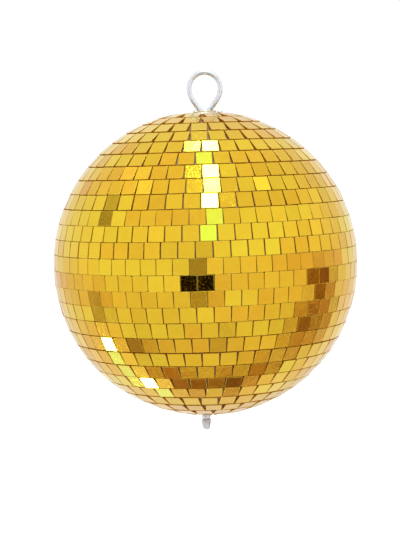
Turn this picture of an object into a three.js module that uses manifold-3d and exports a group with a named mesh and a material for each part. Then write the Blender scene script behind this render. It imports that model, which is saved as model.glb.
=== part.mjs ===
// Mirror ball, 200 mm across, hanging from a pear-shaped wire ring.
// Millimetres, +Z up. The origin is the hang point: the inside of the top of
// the ring, where a hook bears. The ball's centre lies straight below it.
import * as THREE from 'three';
import { mergeVertices } from 'three/addons/utils/BufferGeometryUtils.js';
import Module from 'manifold-3d';

const wasm = await Module();
wasm.setup();

// ---- driving dimensions (mm, degrees); heights are above the ball's centre ----
const BALL_R = 100;            // radius touched by the middle of every tile
const TILE = 9.7;              // length of a tile's side
const TILE_T = 1.5;            // glass thickness
const TILE_BACK = 9.3;         // the back of a tile, a little smaller than its face
const ROW_TILT = -1.55;        // the rows' pole leans from the spindle, about Y

const CORE_R = 98.1;           // outside of the plastic core
const CORE_WALL = 2.5;
const CORE_SEG = 32;
const CORE_STEPS = 8;
const CORE_HALF_GAP = 0.15;
const CORE_HOLE_TOP = 7.8;
const CORE_HOLE_BOTTOM = 2.7;
const BAND_R = 94.6;           // joint band glued inside both halves
const BAND_T = 2;
const BAND_H = 12;

const WIRE_R = 1.65;           // ring wire
const RING_TOP = 125.5;        // wire centre at the top of the ring
const RING_WIDE_Z = 114.9;     // height at which the ring is widest
const RING_A = 10.2;           // half the width there, to the wire centre
const RING_LEG_R = 13.6;       // arc between the widest point and the straight leg
const RING_LEG_DEG = 36;       // the legs' slope from the vertical
const RING_BEND_R = 2.3;       // bend at the foot of the ring
const RING_BEND_Z = 100.36;    // centre of that bend
const HANG_Z = RING_TOP - WIRE_R - 0.05;   // origin: the hook's contact line

const EYE_Z = RING_BEND_Z - RING_BEND_R;   // hinge line of ring and eye
const EYE_HOLE_R = 2.45;
const EYE_T = 2;
const EYE_R = 3.7;             // round top of the tongue
const EYE_BASE_R = 4.4;
const EYE_BASE_Z = [89.6, 93.6];

const CAP_R = 13.7;            // outer edge of the top cap
const WELL_R = 6.6;            // inside of the cap's well
const CAP_T = 0.8;
const CAP_Z = 98.1;            // underside of the flat brim
const COLLAR_Z = 100.5;        // top of the collar round the well
const COLLAR_R = 7.6;
const WELL_FLOOR_Z = 88.5;
const SCREW_PCR = 9.9;
const SCREW_LON = [84, 204, 324];
const SCREW_HOLE_R = 1.4;

const ROD_R = 2;
const ROD_Z = [-108.2, 93.0];
const BORE_R = 2.3;

// Rows of tiles: latitude of the row's middle, tiles in the row, and the
// longitude of one joint between tiles (from the front, positive towards +X).
const ROWS_UP = [
  [2.75, 61, 0.14], [8.55, 58, 2.69], [14.35, 57, -1.86], [20.15, 57, 0.64],
  [26.1, 52, -1.10], [32.05, 50, 0.0], [38.1, 46, -0.40], [44.25, 41, -3.55],
  [50.5, 36, -0.41], [56.9, 30, 4.33], [63.4, 24, 5.6], [70.1, 18, 0.3],
  [76.6, 11, 2.3],
];
const ROWS_DOWN = [
  [-3.0, 61, 2.76], [-8.7, 60, 0.24], [-14.45, 58, 2.38], [-20.3, 56, -2.41],
  [-26.3, 53, 0.38], [-32.45, 49, -2.79], [-38.5, 45, 2.59], [-44.45, 41, -1.21],
  [-50.5, 37, -2.38], [-56.9, 30, 5.61], [-63.6, 24, -4.75], [-70.3, 18, 3.1],
  [-76.8, 11, 5.0],
];

// ---- materials ----
const mat = (color, roughness, metalness) =>
  new THREE.MeshStandardMaterial({ color, roughness, metalness });
const GOLD = mat(0xe4b82a, 0.12, 1.0);
const CORE = mat(0x5a3a14, 0.8, 0.0);
const STEEL = mat(0xd9d9d6, 0.3, 1.0);
const CAP = mat(0xd8c8a0, 0.35, 1.0);

// ---- helpers ----
const V2 = (x, y) => new THREE.Vector2(x, y);

// Lathe solid about Z; the face winding is turned outwards if needed.
function signedVolume(g) {
  const p = g.attributes.position, ix = g.index;
  const a = new THREE.Vector3(), b = new THREE.Vector3(), c = new THREE.Vector3();
  let v = 0;
  const n = ix ? ix.count : p.count;
  for (let i = 0; i < n; i += 3) {
    a.fromBufferAttribute(p, ix ? ix.getX(i) : i);
    b.fromBufferAttribute(p, ix ? ix.getX(i + 1) : i + 1);
    c.fromBufferAttribute(p, ix ? ix.getX(i + 2) : i + 2);
    v += a.dot(b.cross(c)) / 6;
  }
  return v;
}

function clean(g) {
  const c = g.clone();
  c.deleteAttribute('normal');
  c.deleteAttribute('uv');
  const m = mergeVertices(c, 1e-4);
  // faces that shrank to a line on the axis are dropped
  const p = m.attributes.position, keep = [];
  const a = new THREE.Vector3(), b = new THREE.Vector3(), d = new THREE.Vector3();
  for (let i = 0; i < m.index.count; i += 3) {
    const [i0, i1, i2] = [m.index.getX(i), m.index.getX(i + 1), m.index.getX(i + 2)];
    if (i0 === i1 || i1 === i2 || i0 === i2) continue;
    a.fromBufferAttribute(p, i0); b.fromBufferAttribute(p, i1); d.fromBufferAttribute(p, i2);
    if (b.clone().sub(a).cross(d.clone().sub(a)).length() < 1e-9) continue;
    keep.push(i0, i1, i2);
  }
  m.setIndex(keep);
  if (signedVolume(m) < 0) {
    for (let i = 0; i < keep.length; i += 3) [keep[i + 1], keep[i + 2]] = [keep[i + 2], keep[i + 1]];
    m.setIndex(keep);
  }
  return m;
}

function lathe(points, segments, phase = 0) {
  const g = new THREE.LatheGeometry(points.map(([r, z]) => V2(r, z)), segments, phase);
  g.rotateX(Math.PI / 2);
  return clean(g);
}

function ring(points, segments, phase = 0) {
  return lathe([...points, points[0]], segments, phase);
}

function solid(g) {
  const c = clean(g);
  return new wasm.Manifold(new wasm.Mesh({
    numProp: 3,
    vertProperties: new Float32Array(c.attributes.position.array),
    triVerts: new Uint32Array(c.index.array),
  }));
}

function fromSolid(m) {
  const mesh = m.getMesh();
  const g = new THREE.BufferGeometry();
  g.setAttribute('position', new THREE.BufferAttribute(new Float32Array(mesh.vertProperties), 3));
  g.setIndex(Array.from(mesh.triVerts));
  return g;
}

function add(group, name, geometry, material) {
  const g = geometry.clone();
  g.computeVertexNormals();
  const m = new THREE.Mesh(g, material);
  m.name = name;
  group.add(m);
  return m;
}

const rad = THREE.MathUtils.degToRad;

// ---- assembly ----
const part = new THREE.Group();
const ball = new THREE.Group();
ball.position.z = -HANG_Z;
part.add(ball);

// Hanging ring: round wire bent to a pear shape and welded shut. The centre line
// is a bend at the foot, two straight legs, two side arcs and a half ellipse.
function ringCentre(t) {
  // t from -1 (foot, going up the left side) through 0 (top) to 1 (foot)
  const side = t < 0 ? -1 : 1;
  const s = 1 - Math.abs(t);          // 0 at the foot, 1 at the top
  const leg = rad(RING_LEG_DEG);
  const foot = [RING_BEND_R * Math.cos(leg), RING_BEND_Z - RING_BEND_R * Math.sin(leg)];
  const hip = [RING_A - RING_LEG_R + RING_LEG_R * Math.cos(leg), RING_WIDE_Z - RING_LEG_R * Math.sin(leg)];
  let x, z;
  if (s < 0.16) {
    const a = -Math.PI / 2 + (s / 0.16) * (Math.PI / 2 - leg);
    x = RING_BEND_R * Math.cos(a); z = RING_BEND_Z + RING_BEND_R * Math.sin(a);
  } else if (s < 0.32) {
    const k = (s - 0.16) / 0.16;
    x = foot[0] + (hip[0] - foot[0]) * k; z = foot[1] + (hip[1] - foot[1]) * k;
  } else if (s < 0.52) {
    const a = -leg + ((s - 0.32) / 0.20) * leg;
    x = RING_A - RING_LEG_R + RING_LEG_R * Math.cos(a); z = RING_WIDE_Z + RING_LEG_R * Math.sin(a);
  } else {
    const a = ((s - 0.52) / 0.48) * Math.PI / 2;
    x = RING_A * Math.cos(a); z = RING_WIDE_Z + (RING_TOP - RING_WIDE_Z) * Math.sin(a);
  }
  return new THREE.Vector3(side * x, 0, z);
}
const RING_SEG = 50, WIRE_SEG = 10;
function wireRing() {
  const g = new THREE.TorusGeometry(10, WIRE_R, WIRE_SEG, RING_SEG);
  const p = g.attributes.position;
  const v = new THREE.Vector3(), out = new THREE.Vector3();
  for (let i = 0; i < p.count; i++) {
    v.fromBufferAttribute(p, i);
    let u = Math.atan2(v.y, v.x) / (2 * Math.PI);           // -0.5 to 0.5
    const t = Math.round(u * RING_SEG) / RING_SEG * 2;      // -1 to 1
    const radial = (Math.hypot(v.x, v.y) - 10) / WIRE_R, across = v.z / WIRE_R;
    const e = 1e-3;
    const w = (q) => (q > 1 ? q - 2 : q < -1 ? q + 2 : q);
    const tan = ringCentre(w(t + e)).sub(ringCentre(w(t - e))).normalize();
    // outward normal in the ring's plane
    out.set(tan.z, 0, -tan.x).multiplyScalar(-1);
    const c = ringCentre(t);
    const inward = new THREE.Vector3(0, 0, 112).sub(c).dot(out) > 0 ? -1 : 1;
    const q = c.addScaledVector(out, inward * radial * WIRE_R);
    p.setXYZ(i, q.x, across * WIRE_R, q.z);
  }
  return clean(g);
}
add(ball, 'hang_ring', wireRing(), STEEL);

// Eye nut: a round base screwed on the rod and a flat tongue that the ring's foot
// runs through. The ring swings in the tongue's hole, about X.
{
  const s = new THREE.Shape();
  s.moveTo(-EYE_R, -6.2);
  s.lineTo(EYE_R, -6.2);
  s.lineTo(EYE_R, 0);
  s.absarc(0, 0, EYE_R, 0, Math.PI, false);
  s.lineTo(-EYE_R, -6.2);
  const h = new THREE.Path();
  h.absarc(0, 0, EYE_HOLE_R, 0, Math.PI * 2, true);
  s.holes.push(h);
  const tongue = new THREE.ExtrudeGeometry(s, { depth: EYE_T, bevelEnabled: false, curveSegments: 10 });
  tongue.translate(0, 0, -EYE_T / 2);
  tongue.rotateX(Math.PI / 2);      // the outline's y is now +Z, its thickness along Y
  tongue.rotateZ(Math.PI / 2);      // and the thickness lies along X
  tongue.translate(0, 0, EYE_Z);
  const base = lathe([[0, EYE_BASE_Z[0]], [EYE_BASE_R, EYE_BASE_Z[0]], [EYE_BASE_R, EYE_BASE_Z[1] - 0.6],
    [EYE_BASE_R - 0.6, EYE_BASE_Z[1]], [0, EYE_BASE_Z[1]]], 20);
  const bore = lathe([[0, EYE_BASE_Z[0] - 1], [BORE_R, EYE_BASE_Z[0] - 1], [BORE_R, ROD_Z[1] + 0.3], [0, ROD_Z[1] + 0.3]], 14);
  const m = solid(tongue).add(solid(base)).subtract(solid(bore));
  add(ball, 'eye_nut', fromSolid(m), STEEL);
}

// Screw holes shared by the cap and the top of the core.
const screwAt = (lon) => [SCREW_PCR * Math.sin(rad(lon)), -SCREW_PCR * Math.cos(rad(lon))];
function screwHoles(z0, z1) {
  let m = null;
  for (const lon of SCREW_LON) {
    const g = lathe([[0, z0], [SCREW_HOLE_R, z0], [SCREW_HOLE_R, z1], [0, z1]], 10);
    const [x, y] = screwAt(lon);
    g.translate(x, y, 0);
    m = m ? m.add(solid(g)) : solid(g);
  }
  return m;
}

// Top cap: a pressed steel disc with a well in its middle for the eye.
{
  const t = CAP_T, z = CAP_Z, w = WELL_R, f = WELL_FLOOR_Z;
  const g = ring([
    [CAP_R, 97.4], [CAP_R, 98.1], [12.8, 98.75], [11.8, z + t], [COLLAR_R + 0.3, z + t], [COLLAR_R, z + t + 0.3],
    [COLLAR_R, COLLAR_Z - 0.4], [COLLAR_R - 0.3, COLLAR_Z], [w + 0.5, COLLAR_Z], [w, COLLAR_Z - 0.5], [w, f + t],
    [BORE_R, f + t], [BORE_R, f], [w + t - 0.2, f], [w + t - 0.1, z - 0.4], [w + t + 0.3, z], [11.6, z], [12.6, 97.9],
  ], 36);
  add(ball, 'top_cap', fromSolid(solid(g).subtract(screwHoles(95, 102))), CAP);
}

// Cap screws: pan heads, driven into the core.
SCREW_LON.forEach((lon, i) => {
  const z = CAP_Z + CAP_T + 0.3;
  const g = lathe([[0, 91.5], [0.35, 92.0], [1.0, 93.6], [1.0, z], [1.8, z], [1.8, z + 0.4],
    [1.4, z + 0.85], [0.7, z + 1.05], [0, z + 1.05]], 12);
  const [x, y] = screwAt(lon);
  const m = add(ball, `cap_screw_${i + 1}`, g, STEEL);
  m.position.set(x, y, 0);
});

// Spindle: a rod from pole to pole, with its nuts and washers.
add(ball, 'spindle_rod', lathe([[0, ROD_Z[0]], [ROD_R, ROD_Z[0]], [ROD_R, ROD_Z[1]], [0, ROD_Z[1]]], 12), STEEL);

function hexNut(z0, z1, acrossFlats) {
  const s = new THREE.Shape();
  const rc = acrossFlats / Math.sqrt(3);
  for (let i = 0; i < 6; i++) {
    const a = rad(60 * i + 30);
    if (i) s.lineTo(rc * Math.cos(a), rc * Math.sin(a)); else s.moveTo(rc * Math.cos(a), rc * Math.sin(a));
  }
  s.closePath();
  const h = new THREE.Path();
  h.absarc(0, 0, BORE_R, 0, Math.PI * 2, true);
  s.holes.push(h);
  const g = new THREE.ExtrudeGeometry(s, { depth: z1 - z0, bevelEnabled: false, curveSegments: 8 });
  g.translate(0, 0, z0);
  return clean(g);
}
const washer = (z0, z1, r) => ring([[r, z0], [r, z1], [BORE_R, z1], [BORE_R, z0]], 18);
add(ball, 'upper_lock_nut', hexNut(84.9, 88.1, 7), STEEL);
add(ball, 'lower_inner_washer', washer(-94.6, -93.6, 8), STEEL);
add(ball, 'lower_lock_nut', hexNut(-93.3, -90.1, 7), STEEL);

// Core: two moulded half shells and the band that joins them inside.
function halfShell(sign, hole) {
  const ro = CORE_R, ri = CORE_R - CORE_WALL;
  const outer = [], inner = [];
  for (let i = 0; i <= CORE_STEPS; i++) {
    const k = i / CORE_STEPS;
    const ao = Math.asin(CORE_HALF_GAP / ro) * (1 - k) + Math.acos(hole / ro) * k;
    const ai = Math.asin(CORE_HALF_GAP / ri) * (1 - k) + Math.acos(hole / ri) * k;
    outer.push([ro * Math.cos(ao), sign * ro * Math.sin(ao)]);
    inner.push([ri * Math.cos(ai), sign * ri * Math.sin(ai)]);
  }
  return ring([...outer, ...inner.reverse()], CORE_SEG);
}
add(ball, 'core_shell_upper',
  fromSolid(solid(halfShell(1, CORE_HOLE_TOP)).subtract(screwHoles(90, 102))), CORE);
add(ball, 'core_shell_lower', halfShell(-1, CORE_HOLE_BOTTOM), CORE);
add(ball, 'core_joint_band', ring([[BAND_R, -BAND_H / 2], [BAND_R, BAND_H / 2],
  [BAND_R - BAND_T, BAND_H / 2], [BAND_R - BAND_T, -BAND_H / 2]], CORE_SEG), CORE);

// Underside: a small cap disc, washer, collar nut and a tapered dome nut.
add(ball, 'bottom_cap', ring([[CAP_R, -97.35], [CAP_R, -97.95], [12.6, -98.75], [11.4, -99.2],
  [BORE_R, -99.2], [BORE_R, -98.4], [11.2, -98.4], [12.4, -97.95]], 32), CAP);
add(ball, 'bottom_washer', washer(-100.3, -99.5, 4.4), STEEL);
add(ball, 'collar_nut', ring([[2.6, -100.6], [2.9, -101.0], [2.9, -102.9], [2.6, -103.3],
  [BORE_R, -103.3], [BORE_R, -100.6]], 18), STEEL);
add(ball, 'dome_nut', lathe([[0, -108.5], [BORE_R, -108.5], [BORE_R, -103.8], [3.1, -103.8], [3.3, -104.2],
  [3.3, -105.4], [2.75, -107.6], [2.6, -109.2], [2.3, -110.2], [1.4, -110.8], [0, -111.0]], 18), STEEL);

// Tile rows: each row is a ring of square flat facets, one facet for each tile.
const rows = new THREE.Group();
rows.rotation.y = rad(ROW_TILT);
ball.add(rows);
function tileRow(lat, count, joint) {
  const a = rad(lat), c = Math.cos(a), s = Math.sin(a), k = 1 / Math.cos(Math.PI / count);
  const pt = (r, along) => [(r * c - along * s) * k, r * s + along * c];
  return ring([pt(BALL_R, -TILE / 2), pt(BALL_R, TILE / 2),
    pt(BALL_R - TILE_T, TILE_BACK / 2), pt(BALL_R - TILE_T, -TILE_BACK / 2)], count, rad(joint));
}
const two = (n) => String(n).padStart(2, '0');
ROWS_UP.forEach(([lat, n, j], i) => add(rows, `tile_row_u${two(i + 1)}`, tileRow(lat, n, j), GOLD));
ROWS_DOWN.forEach(([lat, n, j], i) => add(rows, `tile_row_l${two(i + 1)}`, tileRow(lat, n, j), GOLD));

export default part;
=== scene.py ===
import math
import random
import bpy
import bmesh
from mathutils import Vector, Matrix, noise


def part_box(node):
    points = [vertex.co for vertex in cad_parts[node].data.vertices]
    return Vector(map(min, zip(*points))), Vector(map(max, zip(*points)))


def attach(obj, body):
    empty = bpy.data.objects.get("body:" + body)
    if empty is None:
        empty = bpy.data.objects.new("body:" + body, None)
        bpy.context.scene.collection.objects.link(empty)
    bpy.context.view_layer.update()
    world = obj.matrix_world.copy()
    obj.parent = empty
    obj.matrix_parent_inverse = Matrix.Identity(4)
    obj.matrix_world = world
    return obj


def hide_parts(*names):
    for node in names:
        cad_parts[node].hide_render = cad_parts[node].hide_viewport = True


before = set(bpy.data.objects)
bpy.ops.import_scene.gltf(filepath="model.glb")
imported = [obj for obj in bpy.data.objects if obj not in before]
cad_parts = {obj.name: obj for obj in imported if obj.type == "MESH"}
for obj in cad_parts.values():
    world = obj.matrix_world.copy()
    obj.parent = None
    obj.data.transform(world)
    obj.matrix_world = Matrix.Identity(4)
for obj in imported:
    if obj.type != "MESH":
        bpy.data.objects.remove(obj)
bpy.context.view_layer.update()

MM = 0.001
lo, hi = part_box("core_joint_band")
CENTRE = (lo + hi) / 2                      # the ball's centre
lo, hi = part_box("eye_nut")
EYE_TOP = hi.z
lo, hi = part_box("hang_ring")
RING_BOX = (lo.copy(), hi.copy())

# The rows, as in the CAD model: latitude of the middle, number of tiles, one joint.
ROWS = {}
for i, row in enumerate([
        (2.75, 61, 0.14), (8.55, 58, 2.69), (14.35, 57, -1.86), (20.15, 57, 0.64),
        (26.1, 52, -1.10), (32.05, 50, 0.0), (38.1, 46, -0.40), (44.25, 41, -3.55),
        (50.5, 36, -0.41), (56.9, 30, 4.33), (63.4, 24, 5.6), (70.1, 18, 0.3),
        (76.6, 11, 2.3)]):
    ROWS[f"tile_row_u{i + 1:02d}"] = row
for i, row in enumerate([
        (-3.0, 61, 2.76), (-8.7, 60, 0.24), (-14.45, 58, 2.38), (-20.3, 56, -2.41),
        (-26.3, 53, 0.38), (-32.45, 49, -2.79), (-38.5, 45, 2.59), (-44.45, 41, -1.21),
        (-50.5, 37, -2.38), (-56.9, 30, 5.61), (-63.6, 24, -4.75), (-70.3, 18, 3.1),
        (-76.8, 11, 5.0)]):
    ROWS[f"tile_row_l{i + 1:02d}"] = row
BALL_R = 100.0
TILT = Matrix.Rotation(math.radians(-1.55), 3, "Y")


# ---------------------------------------------------------------- node helpers
def new_material(name):
    m = bpy.data.materials.new(name)
    m.use_nodes = True
    nt = m.node_tree
    nt.nodes.clear()
    out = nt.nodes.new("ShaderNodeOutputMaterial")
    bsdf = nt.nodes.new("ShaderNodeBsdfPrincipled")
    nt.links.new(bsdf.outputs["BSDF"], out.inputs["Surface"])
    return m, nt, bsdf


def node(nt, kind, **values):
    n = nt.nodes.new(kind)
    for k, v in values.items():
        if k.startswith("_"):
            setattr(n, k[1:], v)
        else:
            n.inputs[k].default_value = v
    return n


def math_node(nt, op, a, b=None, clamp=False):
    n = nt.nodes.new("ShaderNodeMath")
    n.operation = op
    n.use_clamp = clamp
    for i, v in enumerate((a, b)):
        if v is None:
            continue
        if isinstance(v, (int, float)):
            n.inputs[i].default_value = v
        else:
            nt.links.new(v, n.inputs[i])
    return n.outputs[0]


def coords(nt):
    return nt.nodes.new("ShaderNodeTexCoord").outputs["Object"]


def noise_tex(nt, vec, scale, detail=2.0, rough=0.5):
    n = node(nt, "ShaderNodeTexNoise", Scale=scale, Detail=detail, Roughness=rough)
    nt.links.new(vec, n.inputs["Vector"])
    return n.outputs["Fac"]


def ramp(nt, fac, stops):
    n = nt.nodes.new("ShaderNodeValToRGB")
    el = n.color_ramp.elements
    while len(el) > 1:
        el.remove(el[-1])
    el[0].position, el[0].color = stops[0][0], (*stops[0][1], 1)
    for p, c in stops[1:]:
        e = el.new(p)
        e.color = (*c, 1)
    nt.links.new(fac, n.inputs["Fac"])
    return n.outputs["Color"]


def map_range(nt, v, a, b, c, d):
    n = nt.nodes.new("ShaderNodeMapRange")
    for k, x in zip(("From Min", "From Max", "To Min", "To Max"), (a, b, c, d)):
        n.inputs[k].default_value = x
    nt.links.new(v, n.inputs["Value"])
    return n.outputs["Result"]


def mix_color(nt, fac, a, b, blend="MIX"):
    n = nt.nodes.new("ShaderNodeMix")
    n.data_type = "RGBA"
    n.blend_type = blend
    for sock, v in ((n.inputs[0], fac), (n.inputs[6], a), (n.inputs[7], b)):
        if isinstance(v, (int, float)):
            sock.default_value = v
        elif isinstance(v, tuple):
            sock.default_value = (*v, 1)
        else:
            nt.links.new(v, sock)
    return n.outputs[2]


def bump(nt, bsdf, layers):
    """layers: (height socket, distance in metres, strength)"""
    prev = None
    for h, dist, strength in layers:
        b = node(nt, "ShaderNodeBump", Strength=strength, Distance=dist)
        nt.links.new(h, b.inputs["Height"])
        if prev:
            nt.links.new(prev, b.inputs["Normal"])
        prev = b.outputs["Normal"]
    nt.links.new(prev, bsdf.inputs["Normal"])


def attribute(nt, name):
    n = nt.nodes.new("ShaderNodeAttribute")
    n.attribute_name = name
    return n.outputs["Fac"]


# ---------------------------------------------------------------- materials
def gold_mirror():
    """Gold silvered glass: each tile has its own tone, partly random and partly painted reflection and shade, from
    orange-gold on tiles painted as shaded to lemon-gold on tiles painted as lit, with a fine grain.
    """
    m, nt, b = new_material("gold_mirror_glass")
    v = coords(nt)
    tint = attribute(nt, "tint")
    mott = noise_tex(nt, v, 160, 3, 0.6)
    grain = noise_tex(nt, v, 1900, 2, 0.7)
    t = math_node(nt, "ADD", tint, map_range(nt, mott, 0.3, 0.7, -0.08, 0.08))
    t = math_node(nt, "ADD", t, map_range(nt, grain, 0.3, 0.7, -0.09, 0.09), clamp=True)
    # tone ramp: the orange end is painted shade and the lemon end is painted light, on top of a random tone per tile
    col = ramp(nt, t, [(0.0, (0.68, 0.310, 0.012)), (0.35, (0.74, 0.410, 0.017)),
                       (0.65, (0.77, 0.495, 0.021)), (1.0, (0.79, 0.585, 0.026))])
    nt.links.new(col, b.inputs["Base Color"])
    b.inputs["Metallic"].default_value = 1.0
    b.inputs["Coat Weight"].default_value = 0.22
    b.inputs["Coat Roughness"].default_value = 0.04
    b.inputs["Coat IOR"].default_value = 1.5
    r = math_node(nt, "ADD", map_range(nt, noise_tex(nt, v, 70, 2), 0.3, 0.7, 0.045, 0.08),
                  map_range(nt, grain, 0.3, 0.7, 0.0, 0.04))
    nt.links.new(r, b.inputs["Roughness"])
    # wavy silvering over a fine orange peel
    bump(nt, b, [(noise_tex(nt, v, 110, 2), 0.00012, 0.7), (noise_tex(nt, v, 620, 3, 0.6), 0.000050, 0.9),
                 (map_range(nt, noise_tex(nt, v, 1800, 1), 0.62, 0.74, 0.0, 1.0), 0.000015, 0.55)])
    return m


def tile_edge():
    """Scored and ground glass edge, brown: the bright yellow at the arris is a painted highlight, and the darker brown
    lower down is painted shade in the gaps between tiles.
    """
    m, nt, b = new_material("tile_edge_glass")
    v = coords(nt)
    depth = attribute(nt, "depth")
    n = noise_tex(nt, v, 900, 3, 0.7)
    d = math_node(nt, "ADD", depth, map_range(nt, n, 0.3, 0.7, -0.12, 0.12), clamp=True)
    # bright yellow at the arris is a painted highlight; the browns darken towards the back of the tile: painted shade
    # between tiles
    col = ramp(nt, d, [(0.0, (0.80, 0.52, 0.05)), (0.10, (0.62, 0.34, 0.02)),
                       (0.24, (0.76, 0.36, 0.020)), (0.5, (0.66, 0.27, 0.014)), (1.0, (0.52, 0.20, 0.010))])
    nt.links.new(col, b.inputs["Base Color"])
    b.inputs["Metallic"].default_value = 0.6
    b.inputs["Specular IOR Level"].default_value = 0.1
    nt.links.new(map_range(nt, n, 0.3, 0.7, 0.35, 0.6), b.inputs["Roughness"])
    bump(nt, b, [(noise_tex(nt, v, 1400, 3), 0.00004, 0.6)])
    return m


def adhesive():
    """Brown core under a thin, lumpy coat of dried adhesive."""
    m, nt, b = new_material("brown_adhesive")
    v = coords(nt)
    n = noise_tex(nt, v, 260, 4, 0.6)
    col = ramp(nt, n, [(0.3, (0.24, 0.088, 0.016)), (0.55, (0.36, 0.145, 0.026)), (0.75, (0.48, 0.22, 0.05))])
    nt.links.new(col, b.inputs["Base Color"])
    nt.links.new(map_range(nt, noise_tex(nt, v, 500, 2), 0.3, 0.7, 0.45, 0.75), b.inputs["Roughness"])
    bump(nt, b, [(n, 0.0004, 0.7), (noise_tex(nt, v, 1200, 2), 0.0001, 0.5)])
    return m


def metal(name, light, dark, rough=(0.2, 0.35), scale=300, stretch=(1, 1, 8), grain=0.000006, coat=0.0):
    m, nt, b = new_material(name)
    v = coords(nt)
    mp = nt.nodes.new("ShaderNodeMapping")
    mp.inputs["Scale"].default_value = stretch
    nt.links.new(v, mp.inputs["Vector"])
    n = noise_tex(nt, mp.outputs["Vector"], scale, 3, 0.6)
    spot = noise_tex(nt, v, scale * 0.35, 3, 0.6)
    col = ramp(nt, math_node(nt, "MULTIPLY", math_node(nt, "ADD", n, spot), 0.5), [(0.38, dark), (0.58, light)])
    nt.links.new(col, b.inputs["Base Color"])
    b.inputs["Metallic"].default_value = 1.0
    if coat:
        b.inputs["Coat Weight"].default_value = coat
    nt.links.new(map_range(nt, n, 0.3, 0.7, *rough), b.inputs["Roughness"])
    bump(nt, b, [(n, grain, 0.8), (spot, grain * 4, 0.5)])
    return m


def plastic(name, light, dark):
    m, nt, b = new_material(name)
    v = coords(nt)
    n = noise_tex(nt, v, 120, 4, 0.6)
    nt.links.new(ramp(nt, n, [(0.35, dark), (0.65, light)]), b.inputs["Base Color"])
    nt.links.new(map_range(nt, n, 0.3, 0.7, 0.5, 0.7), b.inputs["Roughness"])
    bump(nt, b, [(noise_tex(nt, v, 900, 2), 0.00005, 0.5)])
    return m


GOLD = gold_mirror()
EDGE = tile_edge()
GLUE = adhesive()
WIRE = metal("ring_wire_zinc", (0.80, 0.81, 0.84), (0.66, 0.67, 0.71), (0.24, 0.36), 160, (1, 1, 3), 0.000003)
CAPM = metal("cap_steel_lacquer", (0.74, 0.62, 0.44), (0.60, 0.48, 0.32), (0.34, 0.48), 350)
SCREW = metal("screw_plated", (0.76, 0.68, 0.54), (0.60, 0.52, 0.40), (0.30, 0.44), 600)
NUT = metal("nut_plated", (0.74, 0.71, 0.69), (0.56, 0.53, 0.51), (0.28, 0.42), 700)
STEEL = metal("spindle_zinc", (0.74, 0.74, 0.74), (0.58, 0.58, 0.59), (0.25, 0.40), 500)
CORE = plastic("core_plastic", (0.24, 0.12, 0.04), (0.16, 0.075, 0.025))


# ---------------------------------------------------------------- mesh helpers
def place(q):
    """ball frame in mm to the row frame in metres"""
    return CENTRE + Vector(q) * MM


def make(name, verts, faces, mats, mat_index=None, smooth=False, sharp_deg=35):
    me = bpy.data.meshes.new(name)
    me.from_pydata([tuple(v) for v in verts], [], faces)
    me.validate()
    for mt in mats:
        me.materials.append(mt)
    if mat_index:
        me.polygons.foreach_set("material_index", mat_index)
    bm = bmesh.new()
    bm.from_mesh(me)
    bmesh.ops.recalc_face_normals(bm, faces=bm.faces)
    bm.to_mesh(me)
    bm.free()
    if smooth:
        me.polygons.foreach_set("use_smooth", [True] * len(me.polygons))
        me.set_sharp_from_angle(angle=math.radians(sharp_deg))
    o = bpy.data.objects.new(name, me)
    bpy.context.scene.collection.objects.link(o)
    return o


def lathe(name, profile, mats, segs=64, radius=None, closed=False, smooth=True, sharp=35, centre=(0, 0)):
    """Turned solid about the spindle. profile: (r, z) in mm, ball frame.
    radius(r, z, angle) may change the radius; closed profiles make a ring."""
    verts, faces = [], []
    idx = []
    for r, z in profile:
        if r < 1e-6:
            verts.append(place((centre[0], centre[1], z)))
            idx.append([len(verts) - 1])
            continue
        ring = []
        for k in range(segs):
            a = 2 * math.pi * k / segs
            rr = radius(r, z, a) if radius else r
            verts.append(place((centre[0] + rr * math.sin(a), centre[1] - rr * math.cos(a), z)))
            ring.append(len(verts) - 1)
        idx.append(ring)
    pairs = list(zip(idx, idx[1:]))
    if closed:
        pairs.append((idx[-1], idx[0]))
    for a, b in pairs:
        if len(a) == 1 and len(b) == 1:
            continue
        for k in range(segs):
            j = (k + 1) % segs
            if len(a) == 1:
                faces.append((a[0], b[j], b[k]))
            elif len(b) == 1:
                faces.append((a[k], a[j], b[0]))
            else:
                faces.append((a[k], a[j], b[j], b[k]))
    return make(name, verts, faces, mats, smooth=smooth, sharp_deg=sharp)


def rounded(profile, r=0.15, steps=3):
    """Rounds the corners of an open (r, z) profile."""
    out = [profile[0]]
    for p, q, s in zip(profile, profile[1:], profile[2:]):
        a, b, c = Vector(p), Vector(q), Vector(s)
        d1, d2 = a - b, c - b
        k = min(r, d1.length * 0.45, d2.length * 0.45)
        if d1.angle(d2, math.pi) > math.radians(172) or k < 1e-4:
            out.append(q)
            continue
        p1, p2 = b + d1.normalized() * k, b + d2.normalized() * k
        for i in range(steps + 1):
            t = i / steps
            out.append(tuple((1 - t) ** 2 * p1 + 2 * t * (1 - t) * b + t * t * p2))
    out.append(profile[-1])
    return out


def apply_modifiers(o):
    dg = bpy.context.evaluated_depsgraph_get()
    me = bpy.data.meshes.new_from_object(o.evaluated_get(dg))
    o.modifiers.clear()
    o.data = me
    return o


def piece(o, body, slot, *nodes_replaced):
    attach(o, body)
    if nodes_replaced:
        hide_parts(*nodes_replaced)
    return o


# ---------------------------------------------------------------- mirror tiles
TILE = 9.85
THICK = 1.5


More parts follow.
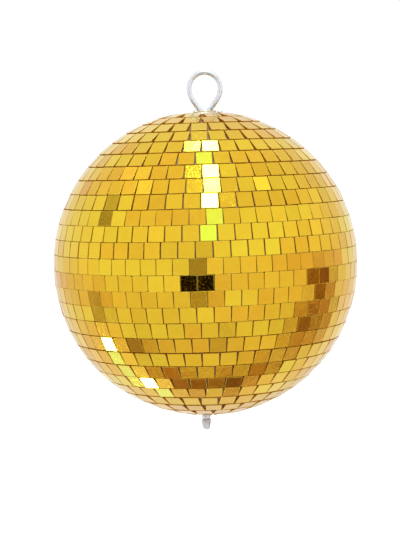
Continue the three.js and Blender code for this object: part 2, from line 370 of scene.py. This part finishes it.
def tile_row(name, lat, count, joint):
    rng = random.Random(name)
    a = math.radians(lat)
    verts, faces, mat_index, tint, depth = [], [], [], [], []
    run_tone, run_left = 0.5, 0
    for k in range(count):
        lon = math.radians(joint + (k + 0.5) * 360 / count)
        n = Vector((math.cos(a) * math.sin(lon), -math.cos(a) * math.cos(lon), math.sin(a)))
        east = Vector((math.cos(lon), math.sin(lon), 0))
        north = Vector((-math.sin(a) * math.sin(lon), math.sin(a) * math.cos(lon), math.cos(a)))
        # each tile is bedded by hand: a little lean, turn and shift
        lean = Vector((max(-1.5, min(1.5, rng.gauss(0, 0.55))), max(-1.5, min(1.5, rng.gauss(0, 0.55)))))
        turn = math.radians(max(-1.0, min(1.0, rng.gauss(0, 0.45))))
        n2 = (n + east * math.tan(math.radians(lean.x)) + north * math.tan(math.radians(lean.y))).normalized()
        e2 = (east * math.cos(turn) + north * math.sin(turn))
        e2 = (e2 - n2 * e2.dot(n2)).normalized()
        u2 = n2.cross(e2).normalized()
        rise = rng.uniform(-0.10, 0.10)
        c = n * (BALL_R + rise) + east * rng.uniform(-0.05, 0.05) + north * rng.uniform(-0.05, 0.05)
        w = (TILE + rng.uniform(-0.06, 0.04)) / 2
        h = (TILE + rng.uniform(-0.06, 0.04)) / 2
        # neighbours often share a tone, in runs of one to six tiles; the tone is partly random and partly painted
        # reflection and shade
        if run_left <= 0:
            # upper rows lean to yellower, lighter tones and lower rows to more orange, darker ones: painted light
            # above and painted shade below
            run_tone = max(0.12, min(0.95, rng.gauss(0.62 if lat > 0 else 0.52, 0.18)))
            run_left = rng.choice((1, 2, 2, 3, 4, 6))
        run_left -= 1
        tone = max(0.0, min(1.0, run_tone + rng.gauss(0, 0.06)))
        outline = []
        for sx, sy in ((-1, -1), (1, -1), (1, 1), (-1, 1)):
            cut = 0.10 if rng.random() > 0.06 else rng.uniform(0.35, 0.8)
            p = Vector((sx * w + rng.uniform(-0.03, 0.03), sy * h + rng.uniform(-0.03, 0.03)))
            first = Vector((p.x, p.y - sy * cut)) if sx * sy > 0 else Vector((p.x - sx * cut, p.y))
            second = Vector((p.x - sx * cut, p.y)) if sx * sy > 0 else Vector((p.x, p.y - sy * cut))
            outline += [first, second]
        base = len(verts)
        bevel = rng.uniform(0.07, 0.15)
        # d is the depth down the edge; the edge material paints a highlight at the arris and shade further down from
        # it
        for scale, z, d in ((1.0 - bevel / w, 0.0, 0.0), (1.0, -0.07, 0.05), (0.998, -0.45, 0.35), (0.975, -THICK, 1.0)):
            for p in outline:
                q = c + e2 * (p.x * scale) + u2 * (p.y * scale) + n2 * z
                verts.append(place(TILT @ q))
                tint.append(tone)
                depth.append(d)
        faces.append([base + i for i in range(8)])
        mat_index.append(0)
        for ring in range(3):
            for i in range(8):
                j = (i + 1) % 8
                p0 = base + ring * 8
                faces.append([p0 + i, p0 + 8 + i, p0 + 8 + j, p0 + j])
                mat_index.append(1)
        faces.append([base + 24 + 7 - i for i in range(8)])
        mat_index.append(1)
    o = make("tiles_" + name[9:], verts, faces, [GOLD, EDGE], mat_index)
    # the per-tile tone (partly painted shade) and the edge depth (for the painted arris highlight and gap shade) are
    # stored on the points
    for attr, data in (("tint", tint), ("depth", depth)):
        at = o.data.attributes.new(attr, "FLOAT", "POINT")
        at.data.foreach_set("value", data)
    piece(o, "ball", "gold_mirror", name)
    # the row stands where its CAD ring stands
    lo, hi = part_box(name)
    co = [v.co for v in o.data.vertices]
    for ax in range(3):
        assert abs(min(c[ax] for c in co) - lo[ax]) < 0.0009 and abs(max(c[ax] for c in co) - hi[ax]) < 0.0009, (name, ax)
    return o


for nm, (lat, count, joint) in ROWS.items():
    tile_row(nm, lat, count, joint)


# ---------------------------------------------------------------- adhesive coat
def core_half(sign, hole, name, node_name):
    outer, steps = [], 56
    for i in range(steps + 1):
        k = i / steps
        a = math.radians(0.02) * (1 - k) + math.acos(hole / 98.2) * k
        outer.append((98.2 * math.cos(a), sign * 98.2 * math.sin(a)))
    inner = [(r * 0.975, z * 0.975) for r, z in outer[::-1]]
    inner[0] = (hole, sign * math.sqrt((98.2 * 0.975) ** 2 - hole ** 2))

    def lumpy(r, z, a):
        R = math.hypot(r, z)
        if R < 97.5 or r < hole + 0.5:
            return r
        p = Vector((r * math.sin(a), -r * math.cos(a), z))
        return r * (1 + 0.0016 * noise.noise(p * 0.35) + 0.0012 * noise.noise(p * 0.9))
    o = lathe(name, outer + inner, [GLUE], segs=180, radius=lumpy, closed=True, sharp=60)
    return piece(o, "ball", "core_plastic", node_name)


core_half(1, 7.8, "adhesive_upper", "core_shell_upper")
core_half(-1, 2.7, "adhesive_lower", "core_shell_lower")


# ---------------------------------------------------------------- hanging ring
def ring_path(n):
    """Centre line of the ring in the ball frame (mm), foot first, closed."""
    leg = math.radians(36)
    A, W, T, SR, BR, BZ = 10.2, 114.9, 125.5, 13.6, 2.3, 100.36
    foot = (BR * math.cos(leg), BZ - BR * math.sin(leg))
    hip = (A - SR + SR * math.cos(leg), W - SR * math.sin(leg))
    right = []
    for i in range(24):
        a = -math.pi / 2 + i / 24 * (math.pi / 2 - leg)
        right.append((BR * math.cos(a), BZ + BR * math.sin(a)))
    for i in range(16):
        k = i / 16
        right.append((foot[0] + (hip[0] - foot[0]) * k, foot[1] + (hip[1] - foot[1]) * k))
    for i in range(20):
        a = -leg + i / 20 * leg
        right.append((A - SR + SR * math.cos(a), W + SR * math.sin(a)))
    for i in range(48):
        a = i / 48 * math.pi / 2
        right.append((A * math.cos(a), W + (T - W) * math.sin(a)))
    pts = right + [(0.0, T)] + [(-x, z) for x, z in right[1:][::-1]]
    return [Vector((x, z)) for x, z in pts]


def hanging_ring():
    pts = ring_path(0)
    n, sides = len(pts), 28
    verts, faces = [], []
    for i, p in enumerate(pts):
        tan = (pts[(i + 1) % n] - pts[i - 1]).normalized()
        out = Vector((tan.y, -tan.x))
        # hand-bent wire: tiny wander in width, a butt weld on the right-hand side
        weld = math.exp(-(((p.x - 10.15) ** 2 + (p.y - 113.2) ** 2) / 0.55))
        nick = math.exp(-(((p.x + 8.6) ** 2 + (p.y - 120.9) ** 2) / 0.25))
        r = 1.65 + 0.02 * noise.noise(Vector((p.x * 0.5, p.y * 0.5, 3.1))) + 0.13 * weld - 0.10 * nick
        for k in range(sides):
            a = 2 * math.pi * k / sides
            bead = 1 + 0.05 * weld * noise.noise(Vector((3 * math.cos(a), 3 * math.sin(a), p.y * 2)))
            d = out * (r * bead * math.cos(a))
            verts.append(place((p.x + d.x, r * bead * math.sin(a), p.y + d.y)))
    for i in range(n):
        j = (i + 1) % n
        for k in range(sides):
            m = (k + 1) % sides
            faces.append((i * sides + k, i * sides + m, j * sides + m, j * sides + k))
    o = make("ring_wire_loop", verts, faces, [WIRE], smooth=True, sharp_deg=80)
    return piece(o, "ring", "ring_wire", "hang_ring")


hanging_ring()


# ---------------------------------------------------------------- eye and cap
def eye():
    base = lathe("eye_base", rounded([(0, 89.6), (4.4, 89.6), (4.4, 93.0), (3.8, 93.6), (0, 93.6)], 0.2), [STEEL], 48)
    # tongue: flat plate, thick along X, with a round hole for the ring
    zc, R, r, t = 98.06, 3.7, 2.45, 1.0
    verts, faces = [], []
    N = 48
    outer, inner = [], []
    for k in range(N):
        a = 2 * math.pi * k / N
        y, z = R * math.cos(a), R * math.sin(a)
        if z < 0:                                   # straight sides below the hole
            y = R * (1 if math.cos(a) > 0 else -1) * min(1.0, abs(math.cos(a)) / max(abs(math.sin(a)), abs(math.cos(a))))
            z = -min(5.2, abs(math.sin(a)) / max(abs(math.cos(a)), 1e-6) * R) if abs(math.cos(a)) > abs(math.sin(a)) * R / 5.2 else -5.2
            y = R * math.cos(a) / max(abs(math.cos(a)), abs(math.sin(a)) * R / 5.2)
        outer.append((y, z))
        inner.append((r * math.cos(a), r * math.sin(a)))
    e = 0.18
    loops = []
    for x, lo_, li in ((-t, e, e), (-t + e, 0, 0), (t - e, 0, 0), (t, e, e)):
        ring_o, ring_i = [], []
        for (y, z), (yi, zi) in zip(outer, inner):
            v = Vector((y, z))
            v = v * (1 - lo_ / v.length)
            w = Vector((yi, zi)) * (1 + li / r)
            verts.append(place((x, v.x, zc + v.y)))
            ring_o.append(len(verts) - 1)
            verts.append(place((x, w.x, zc + w.y)))
            ring_i.append(len(verts) - 1)
        loops.append((ring_o, ring_i))
    for k in range(N):
        j = (k + 1) % N
        for (o1, i1), (o2, i2) in zip(loops, loops[1:]):
            faces.append((o1[k], o1[j], o2[j], o2[k]))
            faces.append((i1[k], i2[k], i2[j], i1[j]))
        faces.append((loops[0][0][k], loops[0][1][k], loops[0][1][j], loops[0][0][j]))
        faces.append((loops[-1][0][k], loops[-1][0][j], loops[-1][1][j], loops[-1][1][k]))
    tongue = make("eye_tongue", verts, faces, [STEEL], smooth=True, sharp_deg=30)
    piece(base, "ball", "spindle_steel", "eye_nut")
    piece(tongue, "ball", "spindle_steel")


eye()

CAP_PROFILE = [(2.3, 89.3), (6.6, 89.3), (6.6, 100.0), (7.1, 100.5), (7.3, 100.5), (7.6, 100.1), (7.6, 99.2), (7.9, 98.9),
               (11.8, 98.9), (12.8, 98.75), (13.7, 98.1), (13.7, 97.4), (12.6, 97.9), (11.6, 98.1), (7.7, 98.1), (7.3, 97.7),
               (7.2, 88.5), (2.3, 88.5)]
cap = lathe("top_cap_disc", rounded(CAP_PROFILE, 0.25, 3), [CAPM], 96, closed=True)
piece(cap, "ball", "cap_steel", "top_cap")
SCREW_LON = (84, 204, 324)
for i, lon in enumerate(SCREW_LON):
    x, y = 9.9 * math.sin(math.radians(lon)), -9.9 * math.cos(math.radians(lon))
    z = 99.2
    prof = [(0, 91.5), (0.35, 92.0), (1.0, 93.6), (1.0, z), (1.8, z), (1.82, z + 0.32), (1.65, z + 0.65),
            (1.3, z + 0.9), (0.7, z + 1.03), (0, z + 1.05)]
    s = lathe(f"cap_screw_head_{i + 1}", rounded(prof, 0.12, 2), [SCREW], 36, centre=(x, y))
    cross = bmesh.new()
    for ang in (0, math.pi / 2):
        mtx = Matrix.Translation(place((x, y, z + 0.95))) @ Matrix.Rotation(ang + 0.4 * i, 4, "Z") @ Matrix.Diagonal((2.3 * MM, 0.42 * MM, 1.3 * MM, 1))
        bmesh.ops.create_cube(cross, size=1.0, matrix=mtx)
    me = bpy.data.meshes.new("cross")
    cross.to_mesh(me)
    cross.free()
    cutter = bpy.data.objects.new("cross", me)
    bpy.context.scene.collection.objects.link(cutter)
    md = s.modifiers.new("recess", "BOOLEAN")
    md.object, md.operation, md.solver = cutter, "DIFFERENCE", "EXACT"
    md.use_self = True
    apply_modifiers(s)
    bpy.data.objects.remove(cutter)
    piece(s, "ball", "screw_steel", f"cap_screw_{i + 1}")


# ---------------------------------------------------------------- underside
under = lathe("bottom_cap_disc", rounded([(2.3, -98.4), (11.2, -98.4), (12.4, -97.95), (14.0, -97.35), (14.0, -97.95),
                                          (12.6, -98.75), (11.4, -99.2), (2.3, -99.2)], 0.25), [CAPM], 96, closed=True)
piece(under, "ball", "cap_steel", "bottom_cap")
wash = lathe("bottom_washer_disc", rounded([(2.3, -99.5), (4.4, -99.5), (4.4, -100.3), (2.3, -100.3)], 0.12), [STEEL], 64, closed=True)
piece(wash, "ball", "spindle_steel", "bottom_washer")
coll = lathe("collar_nut_ring", rounded([(2.3, -100.6), (2.6, -100.6), (2.9, -101.0), (2.9, -102.9), (2.6, -103.3), (2.3, -103.3)], 0.12),
             [NUT], 64, closed=True)
piece(coll, "ball", "nut_steel", "collar_nut")


def hexed(r, z, a):
    """The upper skirt of the dome nut is six-sided and runs out into the round dome."""
    k = max(0.0, min(1.0, (z + 107.4) / 2.2))
    if z > -103.7 or r < 2.35:
        return r
    sector = (a + math.pi / 6) % (math.pi / 3) - math.pi / 6
    flat = r * math.cos(math.pi / 6) / math.cos(sector)
    return r * (1 - k) + max(flat, r * 0.885) * k


dome = lathe("dome_nut_body", rounded([(0, -108.5), (2.3, -108.5), (2.3, -103.8), (3.0, -103.8), (3.35, -104.2), (3.35, -105.5),
                                       (2.95, -106.6), (2.72, -107.6), (2.62, -109.0), (2.35, -110.0), (1.7, -110.7), (0.8, -110.97), (0, -111.0)], 0.2, 4),
             [NUT], 72, radius=hexed, sharp=28)
piece(dome, "ball", "nut_steel", "dome_nut")

# carried-over CAD nodes, all inside the ball or its cap
for nm, mt in (("spindle_rod", STEEL), ("upper_lock_nut", STEEL), ("lower_inner_washer", STEEL), ("lower_lock_nut", STEEL),
               ("core_joint_band", CORE)):
    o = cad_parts[nm]
    o.data.materials.clear()
    o.data.materials.append(mt)


# ---------------------------------------------------------------- camera
PX_W, PX_H = 400, 534
F_PX = 1649.0
DIST = 1.09
ELEV = math.radians(4.0)
cam_data = bpy.data.cameras.new("camera")
cam = bpy.data.objects.new("camera", cam_data)
bpy.context.scene.collection.objects.link(cam)
cam_data.sensor_fit = "VERTICAL"
cam_data.sensor_height = 36.0
cam_data.lens = F_PX * 36.0 / PX_H
cam_data.clip_start, cam_data.clip_end = 0.05, 200
back = Vector((0, -math.cos(ELEV), math.sin(ELEV)))
right = Vector((1, 0, 0))
up = back.cross(right).normalized()
roll = math.radians(-0.33)
aim = CENTRE + right * (-5.6 / F_PX * DIST) + up * (-3.8 / F_PX * DIST)
rot = Matrix((right, up, back)).transposed().to_4x4() @ Matrix.Rotation(roll, 4, "Z")
cam.matrix_world = Matrix.Translation(aim + back * DIST) @ rot
bpy.context.scene.camera = cam

# ---------------------------------------------------------------- floor
floor_z = CENTRE.z - 0.75
bpy.ops.mesh.primitive_plane_add(size=60, location=(0, 0, floor_z))
floor = bpy.context.object
floor.name = "studio_floor"
fm, fnt, fb = new_material("studio_floor")
fb.inputs["Base Color"].default_value = (0.98, 0.98, 0.98, 1)
fb.inputs["Roughness"].default_value = 0.9
floor.data.materials.append(fm)
floor.visible_glossy = False

# ---------------------------------------------------------------- studio light
world = bpy.data.worlds.new("studio")
bpy.context.scene.world = world
world.use_nodes = True
wt = world.node_tree
wt.nodes.clear()
wout = wt.nodes.new("ShaderNodeOutputWorld")
direction = wt.nodes.new("ShaderNodeTexCoord").outputs["Generated"]


def dot(vec):
    n = wt.nodes.new("ShaderNodeVectorMath")
    n.operation = "DOT_PRODUCT"
    wt.links.new(direction, n.inputs[0])
    n.inputs[1].default_value = tuple(vec)
    return n.outputs["Value"]


def soft_box(centre, across, half_a, half_b, soft):
    """1 inside a rectangular softbox seen in that direction, 0 outside.
    half sizes and edge softness are in degrees."""
    c = Vector(centre).normalized()
    u = Vector(across)
    u = (u - c * u.dot(c)).normalized()
    v = c.cross(u)
    out = None
    for axis, half in ((u, half_a), (v, half_b)):
        ang = math_node(wt, "ARCTAN2", dot(axis), dot(c))
        ang = math_node(wt, "ABSOLUTE", ang)
        m = wt.nodes.new("ShaderNodeMapRange")
        m.interpolation_type = "SMOOTHSTEP"
        wt.links.new(ang, m.inputs["Value"])
        m.inputs["From Min"].default_value = math.radians(half - soft)
        m.inputs["From Max"].default_value = math.radians(half + soft)
        m.inputs["To Min"].default_value = 1.0
        m.inputs["To Max"].default_value = 0.0
        out = m.outputs["Result"] if out is None else math_node(wt, "MULTIPLY", out, m.outputs["Result"])
    return out


level = None
# broad walls of the light tent: near white, with slow variation
n1 = noise_tex(wt, direction, 2.2, 2, 0.5)
n2 = noise_tex(wt, direction, 7.0, 2, 0.5)
level = math_node(wt, "ADD", map_range(wt, n1, 0.3, 0.7, 0.98, 1.17), map_range(wt, n2, 0.3, 0.7, -0.06, 0.06))


def darken(mask, to):
    """level moves towards to where mask is 1"""
    global level
    keep = math_node(wt, "SUBTRACT", 1.0, math_node(wt, "MULTIPLY", mask, 1.0 - to))
    level = math_node(wt, "MULTIPLY", level, keep)


def brighten(mask, by):
    global level
    level = math_node(wt, "ADD", level, math_node(wt, "MULTIPLY", mask, by))


patchy = wt.nodes.new("ShaderNodeMapRange")
wt.links.new(noise_tex(wt, direction, 9.0, 3, 0.6), patchy.inputs["Value"])
for k, x in zip(("From Min", "From Max", "To Min", "To Max"), (0.40, 0.54, 0.25, 1.0)):
    patchy.inputs[k].default_value = x
patchy = patchy.outputs["Result"]

# the tent's back wall is a little darker than its front
back_wall = wt.nodes.new("ShaderNodeMapRange")
back_wall.interpolation_type = "SMOOTHSTEP"
wt.links.new(dot((0, 1, 0)), back_wall.inputs["Value"])
for k, x in zip(("From Min", "From Max", "To Min", "To Max"), (0.1, 0.75, 0.0, 1.0)):
    back_wall.inputs[k].default_value = x
darken(back_wall.outputs["Result"], 0.93)
# the floor in front is a little darker than the walls
darken(soft_box((0, -0.45, -0.9), (1, 0, 0), 60, 22, 12), 0.90)
# a dark brown table below, whose edge runs from the lower left to the right
darken(math_node(wt, "MULTIPLY", soft_box((0.50, 0.09, -0.86), (0, 1, 0), 11, 60, 3), patchy), 0.42)
darken(math_node(wt, "MULTIPLY", soft_box((0.03, 0.17, -0.985), (1, 0, 0), 17, 12, 4), patchy), 0.44)
darken(math_node(wt, "MULTIPLY", soft_box((0.88, 0.26, -0.36), (0, 1, 0), 13, 17, 4), patchy), 0.34)
darken(soft_box((0.985, 0.05, -0.13), (0, 1, 0), 10, 5, 3), 0.56)
darken(soft_box((0.88, 0.0, -0.47), (0, 1, 0), 11, 6, 3), 0.62)
dark_level = level
darken(soft_box((-0.91, 0.0, 0.41), (0, 1, 0), 5, 4, 2), 0.35)
darken(soft_box((-0.84, 0.06, 0.54), (0, 1, 0), 4, 4, 2), 0.62)
darken(soft_box((-0.63, -0.10, -0.76), (0, 1, 0), 8, 6, 3), 0.45)
darken(soft_box((-0.92, 0.05, -0.38), (0, 1, 0), 6, 10, 4), 0.55)
# camera, its stand and the person behind it
darken(soft_box((-0.11, -0.98, -0.185), (1, 0, 0), 13.0, 6.0, 1.4), 0.0)
darken(soft_box((-0.10, -0.99, 0.03), (1, 0, 0), 7.5, 5.0, 2.5), 0.42)
darken(soft_box((-0.07, -0.92, -0.39), (1, 0, 0), 7.5, 4.0, 3.0), 0.50)
darken(soft_box((0.0, -0.97, 0.22), (1, 0, 0), 5.0, 4.0, 3.0), 0.80)
darken(soft_box((0.16, -0.60, -0.79), (1, 0, 0), 6.0, 10.0, 3.0), 0.76)
all_dark = level
# small softboxes high on both sides
brighten(math_node(wt, "MULTIPLY", soft_box((-0.66, 0.0, 0.75), (0, 1, 0), 13, 7, 2), patchy), 0.42)
brighten(soft_box((0.57, -0.18, 0.81), (0, 1, 0), 5, 4, 2), 0.42)
# strip light over the top, from the front to behind: a wide soft tube with hot lamps in it
strip_c, strip_u = (0.047, -0.43, 0.90), (0.996, 0.087, 0)
tube = soft_box(strip_c, strip_u, 6.6, 42, 1.6)
brighten(tube, 0.88)
for el, half in ((101.5, 2.2), (75.5, 4.2), (50.5, 4.2), (64.0, 1.4)):
    e = math.radians(el)
    c = (math.sin(math.radians(5)) * math.cos(e), -math.cos(math.radians(5)) * math.cos(e), math.sin(e))
    brighten(soft_box(c, strip_u, 4.6, half, 1.0), 26.0)
# low strip at the left and behind
low_u = (0.148, -0.849, -0.508)
low_tube = soft_box((-0.47, 0.42, -0.78), low_u, 4.4, 22, 1.8)
brighten(low_tube, 0.90)
for c, half in (((-0.73, 0.27, -0.63), 3.8), ((-0.38, 0.41, -0.83), 3.6)):
    brighten(soft_box(c, low_u, 4.5, half, 1.2), 24.0)

# the dark things are brown, the rest is white
tone = wt.nodes.new("ShaderNodeMapRange")
wt.links.new(dark_level, tone.inputs["Value"])
for k, x in zip(("From Min", "From Max", "To Min", "To Max"), (0.45, 0.92, 0.0, 1.0)):
    tone.inputs[k].default_value = x
tent = mix_color(wt, tone.outputs["Result"], (1.06, 0.68, 0.55), (1.0, 1.0, 1.0))
mild = map_range(wt, all_dark, 0.40, 0.92, 0.0, 1.0)
tent = mix_color(wt, mild, mix_color(wt, 1.0, tent, (1.0, 0.78, 0.80), "MULTIPLY"), tent)
tent = mix_color(wt, math_node(wt, "ADD", tube, low_tube, clamp=True), tent, (0.57, 0.98, 1.15))

bg = wt.nodes.new("ShaderNodeBackground")
wt.links.new(level, bg.inputs["Strength"])
wt.links.new(tent, bg.inputs["Color"])
sky = wt.nodes.new("ShaderNodeBackground")
sky.inputs["Color"].default_value = (1, 1, 1, 1)
sky.inputs["Strength"].default_value = 1.05
lp = wt.nodes.new("ShaderNodeLightPath")
mx = wt.nodes.new("ShaderNodeMixShader")
wt.links.new(lp.outputs["Is Camera Ray"], mx.inputs[0])
wt.links.new(bg.outputs[0], mx.inputs[1])
wt.links.new(sky.outputs[0], mx.inputs[2])
wt.links.new(mx.outputs[0], wout.inputs["Surface"])

bpy.context.scene.view_settings.view_transform = "Standard"
bpy.context.scene.view_settings.look = "None"
